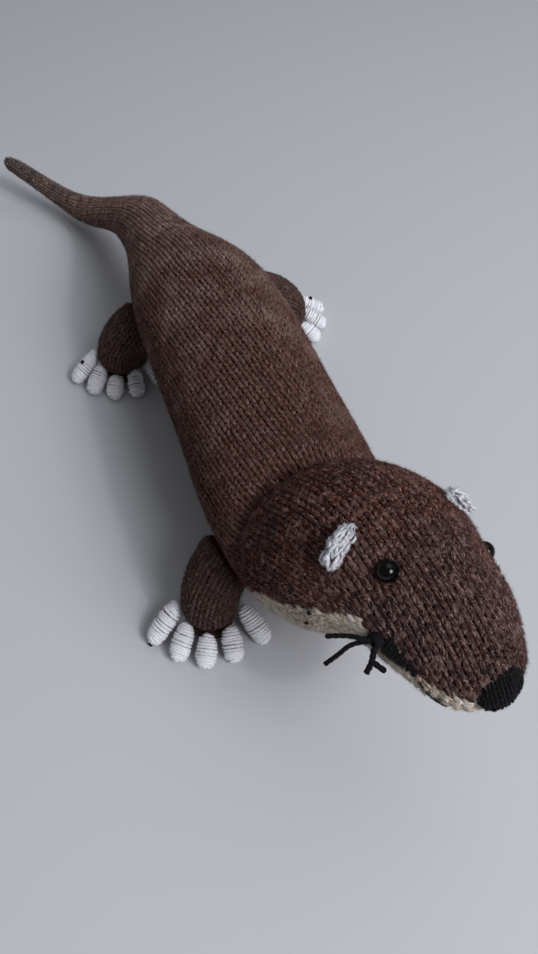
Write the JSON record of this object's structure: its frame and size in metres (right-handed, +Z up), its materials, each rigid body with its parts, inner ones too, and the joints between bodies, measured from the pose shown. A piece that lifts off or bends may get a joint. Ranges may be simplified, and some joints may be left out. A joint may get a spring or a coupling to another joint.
{
  "type": "knitted toy otter",
  "caption": "Stuffed hand-knitted toy otter, standing, with cream throat, cord toes, crocheted ears, bead eyes, black nose and yarn whiskers.",
  "frame": {"origin": "under the middle of the toy's bounding box, on the floor that it stands on", "axes": "+Z up, +Y towards the tail, nose towards -Y, +X to the otter's left"},
  "size_m": [0.1598, 0.4676, 0.1108],
  "materials": {
    "brown_wool": "hand-knitted stocking stitch, flecked brown wool, slightly fuzzy",
    "cream_wool": "hand-knitted stocking stitch, cream wool, slightly fuzzy",
    "silver_grey_yarn": "wound and crocheted silver-grey yarn with a soft sheen",
    "black_wool": "black wool, knitted on the nose and twisted in the whiskers",
    "eye_bead": "polished black bead"
  },
  "bodies": {
    "root": {"tail_tip": "brown_wool", "tail_middle": "brown_wool", "tail_base": "brown_wool", "rump": "brown_wool", "trunk": "brown_wool", "shoulders": "brown_wool", "head": "brown_wool", "muzzle": "brown_wool", "leg_front_right": "brown_wool", "leg_front_left": "brown_wool", "leg_hind_right": "brown_wool", "leg_hind_left": "brown_wool", "palm_front_right": "brown_wool", "palm_front_left": "brown_wool", "palm_hind_right": "brown_wool", "palm_hind_left": "brown_wool", "throat": "cream_wool", "chin": "cream_wool", "ear_right": "silver_grey_yarn", "ear_left": "silver_grey_yarn", "toe_front_right_1": "silver_grey_yarn", "toe_front_right_2": "silver_grey_yarn", "toe_front_right_3": "silver_grey_yarn", "toe_front_right_4": "silver_grey_yarn", "toe_front_right_5": "silver_grey_yarn", "toe_front_left_1": "silver_grey_yarn", "toe_front_left_2": "silver_grey_yarn", "toe_front_left_3": "silver_grey_yarn", "toe_front_left_4": "silver_grey_yarn", "toe_front_left_5": "silver_grey_yarn", "toe_hind_right_1": "silver_grey_yarn", "toe_hind_right_2": "silver_grey_yarn", "toe_hind_right_3": "silver_grey_yarn", "toe_hind_right_4": "silver_grey_yarn", "toe_hind_right_5": "silver_grey_yarn", "toe_hind_left_1": "silver_grey_yarn", "toe_hind_left_2": "silver_grey_yarn", "toe_hind_left_3": "silver_grey_yarn", "toe_hind_left_4": "silver_grey_yarn", "toe_hind_left_5": "silver_grey_yarn", "nose": "black_wool", "mouth_right": "black_wool", "mouth_left": "black_wool", "whiskers_right": "black_wool", "whiskers_left": "black_wool", "eye_right": "eye_bead", "eye_left": "eye_bead"}
  },
  "joints": []
}
